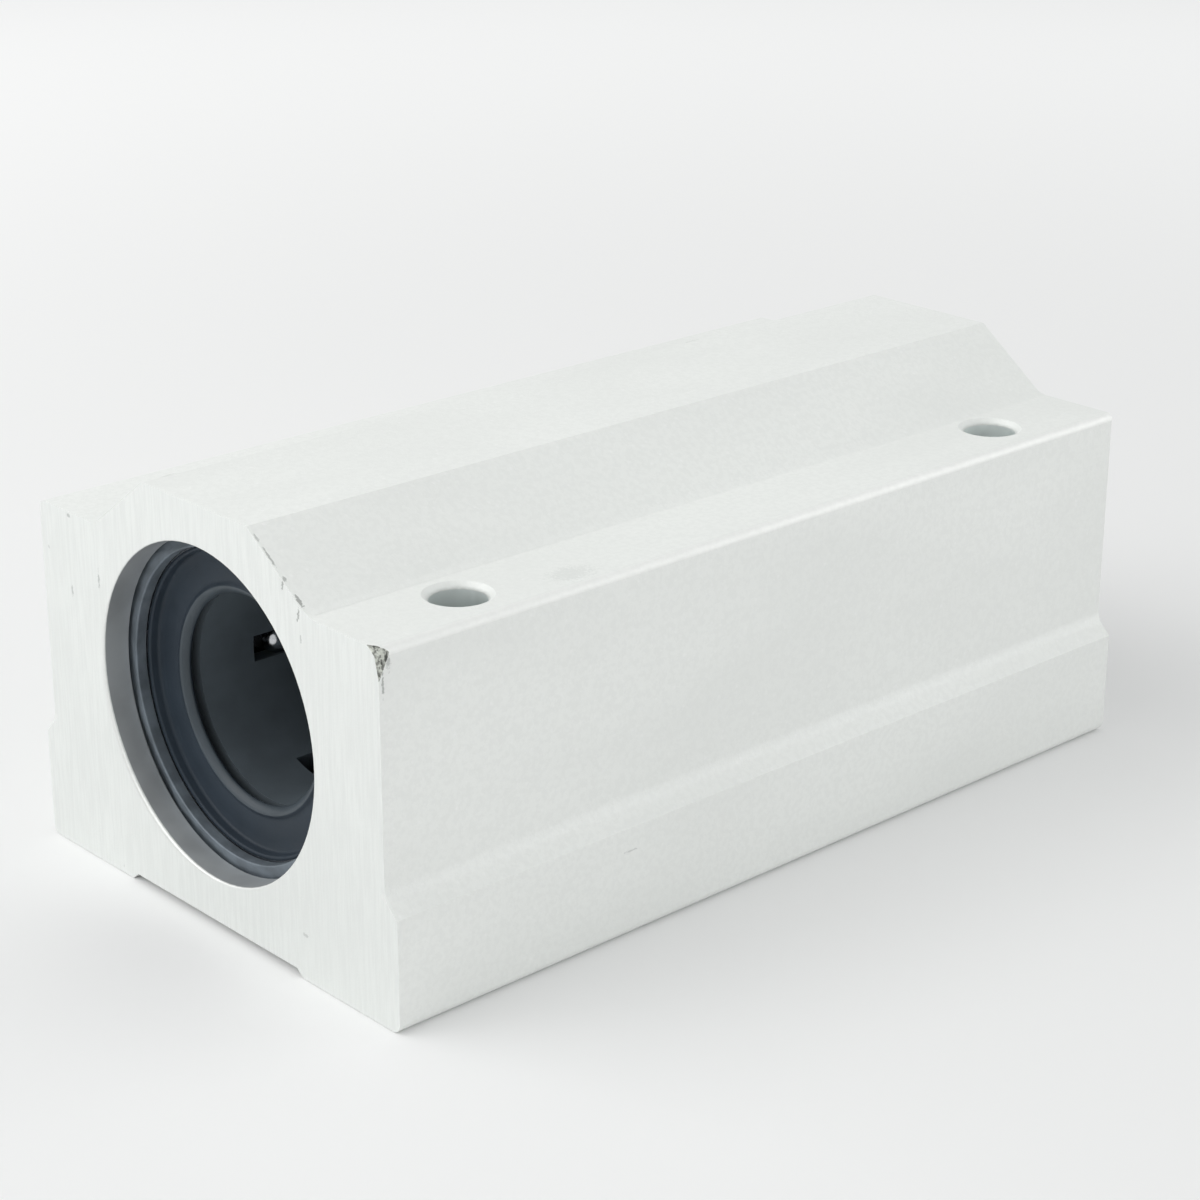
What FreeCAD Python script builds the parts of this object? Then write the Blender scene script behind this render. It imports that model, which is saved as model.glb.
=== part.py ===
import FreeCAD, Part

# Linear bearing block for a 20 mm shaft: a long aluminium housing, bolted down or up through its
# shoulders, that carries two sealed ball bushings in one bore. A spacer ring keeps the bushings
# apart and a circlip at each end keeps them in.
#
# Frame: millimetres, +Z up, +Y along the bore, origin at the middle of the base. The front end
# is at -Y. Every bushing piece is drawn about its own middle with its axis along Y, then placed.

import math
import os

import Sketcher

SIZES = [
    # the housing's outline, square to the bore
    ("base_width", 54.0, "foot, over both sides"),
    ("base_height", 10.9, "foot, height of its sides"),
    ("upper_width", 50.8, "body above the foot"),
    ("step_rise", 1.6, "height of the slant from foot to body"),
    ("shoulder_height", 35.0, "base to the shoulders that the bolts bear on"),
    ("slope_clearance", 0.8, "flat between a bolt hole's chamfer and the slope"),
    ("crest_width", 15.6, "flat along the top"),
    ("roof_wall", 4.0, "aluminium between bore and crest"),
    ("floor_wall", 5.0, "aluminium between bore and base"),
    ("relief_width", 25.0, "flat of the shallow channel under the base"),
    ("relief_depth", 0.7, "depth of that channel"),
    ("relief_run", 0.8, "width of each slant of that channel"),
    ("foot_radius", 1.0, "round of the foot's lower edges"),
    ("shoulder_radius", 0.8, "round of the shoulders' outer edges"),
    # its bore and bolt holes
    ("end_recess", 4.0, "block's end face to the bushing's end"),
    ("bore_clearance", 0.01, "gap around the bushings"),
    ("mouth_chamfer", 0.5, "chamfer of the bore's mouths"),
    ("groove_width", 1.3, "circlip groove, along the bore"),
    ("groove_depth", 0.85, "circlip groove, below the bore's wall"),
    ("bolt_hole", 5.2, "bolt holes, diameter"),
    ("bolt_wall", 1.4, "aluminium between bore and bolt hole"),
    ("bolt_pitch", 70.0, "bolt holes, along the block"),
    ("bolt_chamfer", 0.6, "chamfer of the bolt holes' mouths"),
    # circlips
    ("circlip_thickness", 1.2, "sheet of the circlip"),
    ("circlip_width", 2.0, "circlip, groove's floor to its inner edge"),
    ("circlip_clearance", 0.05, "circlip to groove, each way"),
    ("circlip_gap", 6.0, "between the ring's ends"),
    ("circlip_turn", 63.0, "gap's turn from straight up, degrees"),
    # spacer ring between the bushings
    ("spacer_length", 4.0, "between the two bushings"),
    ("spacer_wall", 2.0, "radial thickness of the ring"),
    ("end_play", 0.02, "gap at each face of the ring"),
    # bushings: sleeve and seals
    ("shaft_diameter", 20.0, "shaft that the block runs on"),
    ("bushing_wall", 6.0, "shaft to the sleeve's outside"),
    ("bushing_length", 42.0, "sleeve, end to end"),
    ("sleeve_wall", 1.4, "sleeve's wall around the seals and between the raceways"),
    ("seal_recess", 0.9, "sleeve's end to the seal's face"),
    ("seal_thickness", 1.8, "seal, along the shaft"),
    ("seal_clearance", 0.01, "seal to its seat"),
    # bushings: balls and cage
    ("circuits", 5.0, "loops of balls around the shaft"),
    ("circuit_turn", 53.0, "first loaded row's turn from straight up, degrees"),
    ("ball_diameter", 3.175, "balls"),
    ("ball_spacing", 0.1, "least gap between neighbours in a loop"),
    ("ball_play", 0.15, "channel's width over a ball"),
    ("ball_gap", 0.03, "ball to the floor or wall that guides it"),
    ("row_angle", 22.0, "loaded row to return row, degrees"),
    ("ramp_length", 2.8, "end of the raceway to the start of the turn"),
    ("land_width", 3.6, "raceway land inside the sleeve"),
    ("cage_clearance", 0.35, "shaft to cage"),
    ("cage_flats", 20.0, "flat faces around the cage's outside"),
    ("cage_play", 0.08, "cage to the raceways"),
    ("cage_end_play", 0.1, "cage to each seal"),
    ("cage_end_wall", 2.4, "cage's end to the loops"),
    ("slot_width", 2.6, "slot that lets the loaded balls reach the shaft"),
    ("slot_lip", 0.3, "thickness of the slot's edges, which keep the balls in"),
]

doc = FreeCAD.newDocument("linear_bearing_block")
sheet = doc.addObject("Spreadsheet::Sheet", "sizes")
for row, (alias, number, note) in enumerate(SIZES, start=1):
    sheet.set(f"A{row}", alias)
    sheet.set(f"B{row}", str(number))
    sheet.setAlias(f"B{row}", alias)
    sheet.set(f"C{row}", note)
doc.recompute()

# Sizes that follow from the sheet, as expressions for the features to be bound to.
SLEEVE_RADIUS = "(sizes.shaft_diameter / 2 + sizes.bushing_wall)"
BORE_RADIUS = f"({SLEEVE_RADIUS} + sizes.bore_clearance)"
BORE_HEIGHT = f"({SLEEVE_RADIUS} + sizes.floor_wall)"
CREST_HEIGHT = f"({BORE_HEIGHT} + {SLEEVE_RADIUS} + sizes.roof_wall)"
STACK_END = "(sizes.bushing_length + sizes.spacer_length / 2)"
BLOCK_END = f"({STACK_END} + sizes.end_recess)"
GROOVE_END = f"({STACK_END} + sizes.groove_width)"
GROOVE_RADIUS = f"({BORE_RADIUS} + sizes.groove_depth)"
BOLT_X = f"({SLEEVE_RADIUS} + sizes.bolt_wall + sizes.bolt_hole / 2)"
SLOPE_FOOT = f"({BOLT_X} - sizes.bolt_hole / 2 - sizes.bolt_chamfer - sizes.slope_clearance)"

BUSHING_Y = "((sizes.bushing_length + sizes.spacer_length) / 2)"
SEAT_RADIUS = f"({SLEEVE_RADIUS} - sizes.sleeve_wall)"
SEAL_END = "(sizes.bushing_length / 2 - sizes.seal_recess - sizes.seal_thickness)"
BALL_RADIUS = "(sizes.ball_diameter / 2)"
LOADED_RADIUS = f"(sizes.shaft_diameter / 2 + {BALL_RADIUS})"
RETURN_RADIUS = f"({SEAT_RADIUS} - {BALL_RADIUS} - sizes.ball_play / 2)"
RACEWAY_RADIUS = f"({LOADED_RADIUS} + {BALL_RADIUS} + sizes.ball_gap / 3)"
CAGE_BORE = "(sizes.shaft_diameter / 2 + sizes.cage_clearance)"
CAGE_END = f"({SEAL_END} - sizes.cage_end_play)"
CHANNEL_HALF = "((sizes.ball_diameter + sizes.ball_play) / 2)"
TURN_RADIUS = f"({RETURN_RADIUS} * sin(sizes.row_angle / 2))"
LOOP_HALF = f"({TURN_RADIUS} + {CHANNEL_HALF})"
LOOP_END = f"({CAGE_END} - sizes.cage_end_wall)"
TURN_START = f"({LOOP_END} - {LOOP_HALF})"
LAND_END = f"({TURN_START} - sizes.ramp_length)"
LOOP_FLOOR = (
    f"({RETURN_RADIUS} * cos(sizes.row_angle / 2) - {BALL_RADIUS} - sizes.ball_gap)"
)


def value(expression):
    """The number that an expression gives with the sheet's present sizes."""
    found = sheet.evalExpression(str(expression))
    return float(getattr(found, "Value", found))


def negative(expression):
    return f"-({expression})"


def place(target, y="0", z=BORE_HEIGHT, turn="0"):
    """Bind an object's place: its distance along the bore, its height and its turn about Y."""
    target.setExpression(
        "Placement",
        f"create(<<placement>>; create(<<vector>>; 0; {y}; {z}); "
        f"create(<<rotation>>; create(<<vector>>; 0; 1; 0); {turn}))",
    )


def new_body(label):
    body = doc.addObject("PartDesign::Body", label)
    body.Label = label
    return body


def origin_feature(body, role):
    return next(f for f in body.Origin.OriginFeatures if f.Role == role)


def new_sketch(body, plane, lift=None, tilt=None):
    """An empty sketch on an origin plane, lifted off it along its normal and tilted about Y."""
    sketch = body.newObject("Sketcher::SketchObject", "Sketch")
    sketch.AttachmentSupport = [(origin_feature(body, plane), "")]
    sketch.MapMode = "FlatFace"
    if lift:
        tilt = tilt or "0"
        sketch.setExpression(
            "AttachmentOffset",
            f"create(<<placement>>; create(<<vector>>; {lift} * sin({tilt}); 0; {lift} * cos({tilt})); "
            f"create(<<rotation>>; create(<<vector>>; 0; 1; 0); {tilt}))",
        )
    return sketch


def bind(sketch, kind, first, second, expression):
    """Add a driving constraint whose value follows an expression; zero lies on the axis."""
    size = value(expression)
    if kind in ("DistanceX", "DistanceY"):
        if abs(size) < 1e-9:
            axis = -2 if kind == "DistanceX" else -1
            sketch.addConstraint(Sketcher.Constraint("PointOnObject", *second, axis))
            return
        index = sketch.addConstraint(Sketcher.Constraint(kind, *first, *second, size))
    else:
        index = sketch.addConstraint(Sketcher.Constraint(kind, first, size))
    sketch.setExpression(f"Constraints[{index}]", expression)


def add_outline(sketch, corners):
    """A closed outline of straight lines, its corners at pairs of expressions."""
    first = len(sketch.Geometry)
    points = [FreeCAD.Vector(value(x), value(y), 0) for x, y in corners]
    ends = points[1:] + points[:1]
    lines = [Part.LineSegment(a, b) for a, b in zip(points, ends)]
    sketch.addGeometry(lines, False)
    for i, (x, y) in enumerate(corners):
        line, following = first + i, first + (i + 1) % len(corners)
        sketch.addConstraint(Sketcher.Constraint("Coincident", line, 2, following, 1))
        bind(sketch, "DistanceX", (-1, 1), (line, 1), x)
        bind(sketch, "DistanceY", (-1, 1), (line, 1), y)


def add_circle(sketch, radius, x="0", y="0"):
    centre = FreeCAD.Vector(value(x), value(y), 0)
    circle = Part.Circle(centre, FreeCAD.Vector(0, 0, 1), value(radius))
    index = sketch.addGeometry(circle, False)
    bind(sketch, "DistanceX", (-1, 1), (index, 3), x)
    bind(sketch, "DistanceY", (-1, 1), (index, 3), y)
    bind(sketch, "Radius", index, None, radius)


def rectangle(half_width, half_length):
    """Corners of a rectangle about the origin."""
    return [
        (negative(half_width), negative(half_length)),
        (half_width, negative(half_length)),
        (half_width, half_length),
        (negative(half_width), half_length),
    ]


def pad(body, sketch, half_length):
    """Raise a sketch as far to either side of its plane."""
    feature = body.newObject("PartDesign::Pad", "Pad")
    feature.Profile = sketch
    feature.Midplane = True
    feature.setExpression("Length", f"2 * {half_length}")
    doc.recompute()
    return feature


def pocket(body, sketch, both_ways=False):
    """Cut a sketch right through, along its normal or both ways."""
    before = body.Shape.Volume
    feature = body.newObject("PartDesign::Pocket", "Pocket")
    feature.Profile = sketch
    feature.Type = "ThroughAll"
    feature.Midplane = both_ways
    feature.Reversed = not both_ways
    doc.recompute()
    check_cut(body, before)
    return feature


def revolve(body, sketch, kind="Revolution"):
    """Turn a half section about the sketch's horizontal axis, as a solid or as a cut."""
    before = body.Shape.Volume if kind == "Groove" else None
    feature = body.newObject(f"PartDesign::{kind}", kind)
    feature.Profile = sketch
    feature.ReferenceAxis = (sketch, ["H_Axis"])
    feature.Angle = 360
    doc.recompute()
    if before:
        check_cut(body, before)
    return feature


def around(body, features):
    """Repeat features once for each ball circuit."""
    pattern = body.newObject("PartDesign::PolarPattern", "PolarPattern")
    pattern.Originals = features
    pattern.Axis = (origin_feature(body, "Y_Axis"), [""])
    pattern.Angle = 360
    pattern.setExpression("Occurrences", "sizes.circuits")
    body.Tip = pattern
    doc.recompute()
    return pattern


def dress(body, kind, edges, prop, expression):
    """Fillet or chamfer the named edges of the body's present tip."""
    feature = body.newObject(f"PartDesign::{kind}", kind)
    feature.Base = (feature.BaseFeature, edges)
    feature.setExpression(prop, expression)
    doc.recompute()
    return feature


def check_cut(body, before):
    if not body.Shape.Volume < before - 1e-6:
        raise RuntimeError(f"{body.Label}: {body.Tip.Label} cuts nothing")


def long_edges(shape, corners):
    """Names of the edges along Y at the given (x, z) corners."""
    spots = [(sign * value(x), value(z)) for x, z in corners for sign in (-1, 1)]
    names = []
    for number, edge in enumerate(shape.Edges, start=1):
        ends = [v.Point for v in edge.Vertexes]
        at = [all(math.hypot(p.x - x, p.z - z) < 1e-4 for p in ends) for x, z in spots]
        if any(at):
            names.append(f"Edge{number}")
    return names


def round_edges(shape, radius, heights):
    """Names of the circles of a given radius that lie level at the given heights."""
    return [
        f"Edge{number}"
        for number, edge in enumerate(shape.Edges, start=1)
        if isinstance(edge.Curve, Part.Circle)
        and abs(edge.Curve.Radius - value(radius)) < 1e-4
        and any(abs(edge.Curve.Center.z - value(h)) < 1e-4 for h in heights)
    ]


def make_housing():
    body = new_body("housing")
    foot, upper = "sizes.base_width / 2", "sizes.upper_width / 2"
    step_top = "sizes.base_height + sizes.step_rise"
    relief = "sizes.relief_width / 2"
    right = [
        (relief, "sizes.relief_depth"),
        (f"{relief} + sizes.relief_run", "0"),
        (foot, "0"),
        (foot, "sizes.base_height"),
        (upper, step_top),
        (upper, "sizes.shoulder_height"),
        (SLOPE_FOOT, "sizes.shoulder_height"),
        ("sizes.crest_width / 2", CREST_HEIGHT),
    ]
    left = [(negative(x), z) for x, z in reversed(right)]
    section = new_sketch(body, "XZ_Plane")
    add_outline(section, right + left)
    pad(body, section, BLOCK_END)
    lower_edges = long_edges(body.Shape, [(foot, "0")])
    dress(body, "Fillet", lower_edges, "Radius", "sizes.foot_radius")
    outer_edges = long_edges(body.Shape, [(upper, "sizes.shoulder_height")])
    dress(body, "Fillet", outer_edges, "Radius", "sizes.shoulder_radius")

    # one bore, chamfered at its mouths, with a circlip groove against each bushing's outer end
    half = [
        (STACK_END, BORE_RADIUS),
        (STACK_END, GROOVE_RADIUS),
        (GROOVE_END, GROOVE_RADIUS),
        (GROOVE_END, BORE_RADIUS),
        (f"{BLOCK_END} - sizes.mouth_chamfer", BORE_RADIUS),
        (BLOCK_END, f"{BORE_RADIUS} + sizes.mouth_chamfer"),
        (BLOCK_END, "0"),
    ]
    bore = new_sketch(body, "YZ_Plane")
    bore.setExpression("AttachmentOffset.Base.y", BORE_HEIGHT)
    add_outline(bore, half + [(negative(y), r) for y, r in reversed(half)])
    revolve(body, bore, "Groove")

    holes = new_sketch(body, "XY_Plane")
    for x in (BOLT_X, negative(BOLT_X)):
        for y in ("sizes.bolt_pitch / 2", "-sizes.bolt_pitch / 2"):
            add_circle(holes, "sizes.bolt_hole / 2", x, y)
    pocket(body, holes)
    mouths = round_edges(body.Shape, "sizes.bolt_hole / 2", ["sizes.shoulder_height"])
    dress(body, "Chamfer", mouths, "Size", "sizes.bolt_chamfer")
    return body


def make_circlip(label, y):
    """Split spring ring, with a gap that lets it close enough to pass down the bore."""
    body = new_body(label)
    rim = f"({GROOVE_RADIUS} - sizes.circlip_clearance)"
    half = "(sizes.circlip_thickness / 2)"
    ring = new_sketch(body, "XZ_Plane")
    add_circle(ring, rim)
    add_circle(ring, f"{rim} - sizes.circlip_width")
    pad(body, ring, half)
    gap = new_sketch(body, "XZ_Plane")
    side, top = "sizes.circlip_gap / 2", f"2 * {rim}"
    add_outline(gap, [(negative(side), "0"), (side, "0"), (side, top), (negative(side), top)])
    pocket(body, gap, both_ways=True)
    place(body, y, turn="sizes.circlip_turn")
    return body


def make_spacer():
    body = new_body("spacer_ring")
    ring = new_sketch(body, "XZ_Plane")
    add_circle(ring, SLEEVE_RADIUS)
    add_circle(ring, f"{SLEEVE_RADIUS} - sizes.spacer_wall")
    pad(body, ring, "(sizes.spacer_length / 2 - sizes.end_play)")
    place(body)
    return body


def make_sleeve(label, y):
    """Hardened tube with a raised raceway for each loaded row; the seals seat in its ends."""
    body = new_body(label)
    tube = new_sketch(body, "XZ_Plane")
    add_circle(tube, SLEEVE_RADIUS)
    add_circle(tube, SEAT_RADIUS)
    pad(body, tube, "(sizes.bushing_length / 2)")

    land = new_sketch(body, "XZ_Plane")
    side = "sizes.land_width / 2"
    low = f"({RACEWAY_RADIUS} - {BALL_RADIUS} / 2)"
    high = f"(({SEAT_RADIUS} + {SLEEVE_RADIUS}) / 2)"
    add_outline(land, [(negative(side), low), (side, low), (side, high), (negative(side), high)])
    around(body, [pad(body, land, LAND_END)])
    raceway = new_sketch(body, "XZ_Plane")
    add_circle(raceway, RACEWAY_RADIUS)
    pocket(body, raceway, both_ways=True)
    place(body, y, turn="sizes.circuit_turn")
    return body


def make_cage(label, y):
    """Plastic tube that leads each loop of balls: out along the shaft, round, and back behind it."""
    body = new_body(label)
    tube = new_sketch(body, "XZ_Plane")
    flats = round(value("sizes.cage_flats"))
    corner = f"({RACEWAY_RADIUS} - sizes.cage_play)"
    turns = [f"({(i + 0.5) * 360 / flats})" for i in range(flats)]
    add_outline(tube, [(f"{corner} * sin({a})", f"{corner} * cos({a})") for a in turns])
    add_circle(tube, CAGE_BORE)
    pad(body, tube, CAGE_END)

    slot_end = f"({TURN_START} + 4 * sizes.cage_end_play)"
    slot = new_sketch(body, "XY_Plane")
    add_outline(slot, rectangle("sizes.slot_width / 2", slot_end))
    loaded = new_sketch(body, "XY_Plane", lift=f"({CAGE_BORE} + sizes.slot_lip)")
    add_outline(loaded, rectangle(CHANNEL_HALF, slot_end))

    # both turns and the return row, with the corners of the turns cut at 45 degrees
    back = new_sketch(body, "XY_Plane", lift=LOOP_FLOOR, tilt="sizes.row_angle / 2")
    corner = f"(2 - sqrt(2)) * {LOOP_HALF}"
    inner = f"({LOOP_HALF} - {corner})"
    bend = f"({LOOP_END} - {corner})"
    island = f"({TURN_RADIUS} - {CHANNEL_HALF})"
    upper = [
        (LOOP_HALF, bend),
        (inner, LOOP_END),
        (negative(inner), LOOP_END),
        (negative(LOOP_HALF), bend),
        (negative(LOOP_HALF), TURN_START),
        (island, TURN_START),
    ]
    add_outline(back, upper + [(x, negative(a)) for x, a in reversed(upper)])
    around(body, [pocket(body, sketch) for sketch in (slot, loaded, back)])
    place(body, y, turn="sizes.circuit_turn")
    return body


def make_seal(label, y):
    """Rubber ring in a sleeve's end, whose inner edge meets the shaft."""
    body = new_body(label)
    ring = new_sketch(body, "XZ_Plane")
    add_circle(ring, f"{SEAT_RADIUS} - sizes.seal_clearance")
    add_circle(ring, "sizes.shaft_diameter / 2")
    pad(body, ring, "(sizes.seal_thickness / 2)")
    place(body, y)
    return body


def ball(radius):
    """A ball as a double six-sided cone: one tip on the shaft's side, the other on the sleeve's."""
    turns = [math.radians(60 * i) for i in range(6)]
    belt = [FreeCAD.Vector(radius * math.sin(t), radius * math.cos(t), 0) for t in turns]
    faces = []
    for tip in (FreeCAD.Vector(0, 0, radius), FreeCAD.Vector(0, 0, -radius)):
        for here, there in zip(belt, belt[1:] + belt[:1]):
            faces.append(Part.Face(Part.makePolygon([tip, here, there, tip])))
    return Part.makeSolid(Part.makeShell(faces))


def loop_point(along):
    """A ball's middle on the loop that starts at the middle of the loaded row, at the top."""
    straight, turn = value(TURN_START), value(TURN_RADIUS)
    low, high = value(LOADED_RADIUS), value(RETURN_RADIUS)
    ramp, tilt = value("sizes.ramp_length"), math.radians(value("sizes.row_angle"))
    half_turn = math.pi * turn
    length = 4 * straight + 2 * half_turn
    along = (along + length / 2) % length - length / 2
    side, along = (1 if along >= 0 else -1), abs(along)
    if along <= straight:
        climb = ramp - value("sizes.ball_play")
        rise = max(0.0, (along - straight + climb) / climb)
        rise = rise * rise * (3 - 2 * rise)
        radius, angle, y = low + (high - low) * rise, 0.0, along
    elif along <= straight + half_turn:
        bend = (along - straight) / turn
        across = -turn * math.cos(bend)
        height = high * math.cos(tilt / 2)
        radius = math.hypot(across, height)
        angle = tilt / 2 + math.atan2(across, height)
        y = straight + turn * math.sin(bend)
    else:
        radius, angle, y = high, tilt, 2 * straight + half_turn - along
    return FreeCAD.Vector(radius * math.sin(angle), side * y, radius * math.cos(angle))


def make_ball_circuit(label, y, number):
    length = 4 * value(TURN_START) + 2 * math.pi * value(TURN_RADIUS)
    count = int(length / (value("sizes.ball_diameter") + value("sizes.ball_spacing")))
    one = ball(value(BALL_RADIUS))
    balls = []
    for i in range(count):
        middle = loop_point((i + 0.5) * length / count)
        copy = one.copy()
        outwards = math.degrees(math.atan2(middle.x, middle.z))
        copy.Placement = FreeCAD.Placement(middle, FreeCAD.Rotation(FreeCAD.Vector(0, 1, 0), outwards))
        balls.append(copy)
    circuit = doc.addObject("Part::Feature", label)
    circuit.Label = label
    circuit.Shape = Part.makeCompound(balls)
    turn = value("sizes.circuit_turn") + 360 * number / value("sizes.circuits")
    centre = FreeCAD.Vector(0, value(y), value(BORE_HEIGHT))
    circuit.Placement = FreeCAD.Placement(centre, FreeCAD.Rotation(FreeCAD.Vector(0, 1, 0), turn))
    return circuit


def group(label, members):
    """Like pieces that share one node, each still a solid of its own."""
    compound = doc.addObject("Part::Compound", label)
    compound.Label = label
    compound.Links = members
    return compound


def make_block():
    """Every node of the block; a bushing's pieces are named after the end that it serves."""
    outer_end = f"({STACK_END} + sizes.groove_width / 2)"
    circlips = [make_circlip("front_circlip", f"-{outer_end}"), make_circlip("rear_circlip", outer_end)]
    nodes = [make_housing(), group("circlips", circlips), make_spacer()]
    seals = []
    seal_reach = f"({SEAL_END} + sizes.seal_thickness / 2)"
    for end, sign in (("front", "-"), ("rear", "")):
        y = f"({sign}{BUSHING_Y})"
        nodes += [make_sleeve(f"{end}_outer_sleeve", y), make_cage(f"{end}_ball_cage", y)]
        for number in range(round(value("sizes.circuits"))):
            nodes.append(make_ball_circuit(f"{end}_ball_circuit_{number + 1}", y, number))
        seals.append(make_seal(f"{end}_bushing_front_seal", f"({y} - {seal_reach})"))
        seals.append(make_seal(f"{end}_bushing_rear_seal", f"({y} + {seal_reach})"))
    nodes.append(group("shaft_seals", seals))
    return nodes


nodes = make_block()
doc.recompute()

for item in doc.Objects:
    if {"Invalid", "Error"} & set(item.State):
        raise RuntimeError(f"{item.Label} failed: {item.State}")
for node in nodes:
    if node.Shape.isNull() or not node.Shape.isValid() or not node.Shape.Solids:
        raise RuntimeError(f"{node.Label} has no valid solid")

os.makedirs("parts", exist_ok=True)
for node in nodes:
    node.Shape.exportStep(f"parts/{node.Label}.step")
    print(f"{node.Label}: {len(node.Shape.Solids)} solid(s), {node.Shape.Volume:.1f} mm3")
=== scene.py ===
"""Linear bearing block for a 20 mm shaft: the pieces as they look, over the fixed frame.

The housing is a blasted aluminium extrusion with cut ends. Its bore holds two sealed ball
bushings, which a spacer ring keeps apart and a circlip at each end keeps in. +Y runs along the
bore, +Z is up and lengths are metres, unless a name or a docstring says millimetres.
"""

import logging
import math
from collections.abc import Iterable, Sequence
from dataclasses import dataclass, field
from enum import Enum

import bmesh
import bpy
from mathutils import Matrix, Vector


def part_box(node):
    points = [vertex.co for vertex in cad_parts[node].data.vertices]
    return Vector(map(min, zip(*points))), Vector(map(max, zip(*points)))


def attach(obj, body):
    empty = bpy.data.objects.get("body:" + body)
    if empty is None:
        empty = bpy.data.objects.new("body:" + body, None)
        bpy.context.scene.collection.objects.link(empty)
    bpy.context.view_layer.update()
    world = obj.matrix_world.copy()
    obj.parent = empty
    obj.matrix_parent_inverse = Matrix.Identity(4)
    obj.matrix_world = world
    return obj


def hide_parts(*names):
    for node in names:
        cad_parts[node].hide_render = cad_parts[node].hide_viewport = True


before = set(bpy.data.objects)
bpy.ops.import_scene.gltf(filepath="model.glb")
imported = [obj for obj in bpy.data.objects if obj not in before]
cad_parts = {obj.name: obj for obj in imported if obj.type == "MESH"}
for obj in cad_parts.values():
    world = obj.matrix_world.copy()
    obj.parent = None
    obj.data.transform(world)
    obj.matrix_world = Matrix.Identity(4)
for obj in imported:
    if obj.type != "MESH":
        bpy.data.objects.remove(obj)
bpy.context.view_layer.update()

log = logging.getLogger("bearing_block")
MM = 0.001
WELD = 2e-6
Colour = tuple[float, float, float]
Place = tuple[float, float, float]


# ---------------------------------------------------------------------------------------------
# shader trees
# ---------------------------------------------------------------------------------------------


class Graph:
    """A shader tree with short calls that add and join its nodes."""

    def __init__(self, tree: bpy.types.NodeTree) -> None:
        """Starts on a tree.

        Args:
            tree: the tree to build in.
        """
        self.tree = tree

    def add(self, kind: str, feeds: dict | None = None, **settings: object) -> bpy.types.Node:
        """Adds a node.

        Args:
            kind: the node's type, without its ShaderNode prefix.
            feeds: what goes into each input, by name or number: a socket or a plain value.
            settings: the node's own properties.

        Returns:
            The new node.
        """
        node = self.tree.nodes.new(kind if kind.startswith("NodeGroup") else "ShaderNode" + kind)
        for name, value in settings.items():
            setattr(node, name, value)
        for key, value in (feeds or {}).items():
            self.feed(node.inputs[key], value)
        return node

    def feed(self, socket: bpy.types.NodeSocket, value: object) -> None:
        """Joins a socket to another one, or sets its plain value."""
        if isinstance(value, bpy.types.NodeSocket):
            self.tree.links.new(value, socket)
        elif socket.type == "RGBA":
            socket.default_value = (*value, 1.0)
        else:
            socket.default_value = value

    def maths(self, operation: str, *values: object, clamp: bool = False) -> bpy.types.NodeSocket:
        """Returns the result of a Math node on the given sockets or numbers."""
        feeds = dict(enumerate(values))
        return self.add("Math", feeds, operation=operation, use_clamp=clamp).outputs[0]

    def vector(self, operation: str, *values: object) -> bpy.types.NodeSocket:
        """Returns the vector, or the value of a length, that a Vector Math node gives."""
        node = self.add("VectorMath", dict(enumerate(values)), operation=operation)
        return node.outputs["Value" if operation in ("LENGTH", "DOT_PRODUCT") else "Vector"]

    def millimetres(self) -> bpy.types.NodeSocket:
        """Returns the point on the piece in millimetres, in the block's own frame."""
        point = self.add("TexCoord").outputs["Object"]
        node = self.add("VectorMath", {0: point, "Scale": 1000.0}, operation="SCALE")
        return node.outputs["Vector"]

    def noise(
        self, point: object, scale: object, detail: float, roughness: float
    ) -> bpy.types.NodeSocket:
        """Returns a noise about one half: scale in cells a millimetre, finer with more detail."""
        feeds = {"Vector": point, "Scale": scale, "Detail": detail, "Roughness": roughness}
        return self.add("TexNoise", feeds).outputs[0]

    def share(self, value: object, part: object) -> bpy.types.NodeSocket:
        """Returns a part of a value."""
        return self.maths("MULTIPLY", value, part)

    def inverse(self, size: object) -> bpy.types.NodeSocket:
        """Returns the scale at which a pattern's cells have the given size."""
        return self.maths("DIVIDE", 1.0, size)

    def band(self, value: object, low: object, high: object) -> bpy.types.NodeSocket:
        """Returns value eased from 0 at low to 1 at high."""
        feeds = {"Value": value, "From Min": low, "From Max": high, "To Min": 0.0, "To Max": 1.0}
        return self.add("MapRange", feeds, interpolation_type="SMOOTHSTEP").outputs["Result"]

    def blend(self, share: object, first: object, second: object) -> bpy.types.NodeSocket:
        """Returns the first colour mixed towards the second by share."""
        node = self.add("Mix", data_type="RGBA", clamp_factor=True)
        self.feed(node.inputs[0], share)
        self.feed(node.inputs[6], first)
        self.feed(node.inputs[7], second)
        return node.outputs[2]


class Effect(Enum):
    """The surface effects that several finishes share."""

    GRAIN = "blast grain"
    LINES = "tool lines"
    TURNING = "turning lines"
    PATCHES = "soft patches"
    PITS = "small pits"
    MARK = "single mark"


SOCKETS = {
    Effect.GRAIN: (("Size", 0.3), ("Height", None), ("Glint", None)),
    Effect.LINES: (("Spacing", 0.3), ("Stretch", (1.0, 1.0, 1.0)), ("Height", None)),
    Effect.TURNING: (("Spacing", 0.15), ("Height", None)),
    Effect.PATCHES: (("Size", 12.0), ("Stretch", (1.0, 1.0, 1.0)), ("Value", None)),
    Effect.PITS: (("Spacing", 4.0), ("Size", 0.2), ("Share", 0.3), ("Mask", None)),
    Effect.MARK: (
        ("Middle", (0.0, 0.0, 0.0)),
        ("Reach", (1.0, 1.0, 1.0)),
        ("Lean", 0.0),
        ("Ragged", 0.5),
        ("Mask", None),
    ),
}


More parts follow.
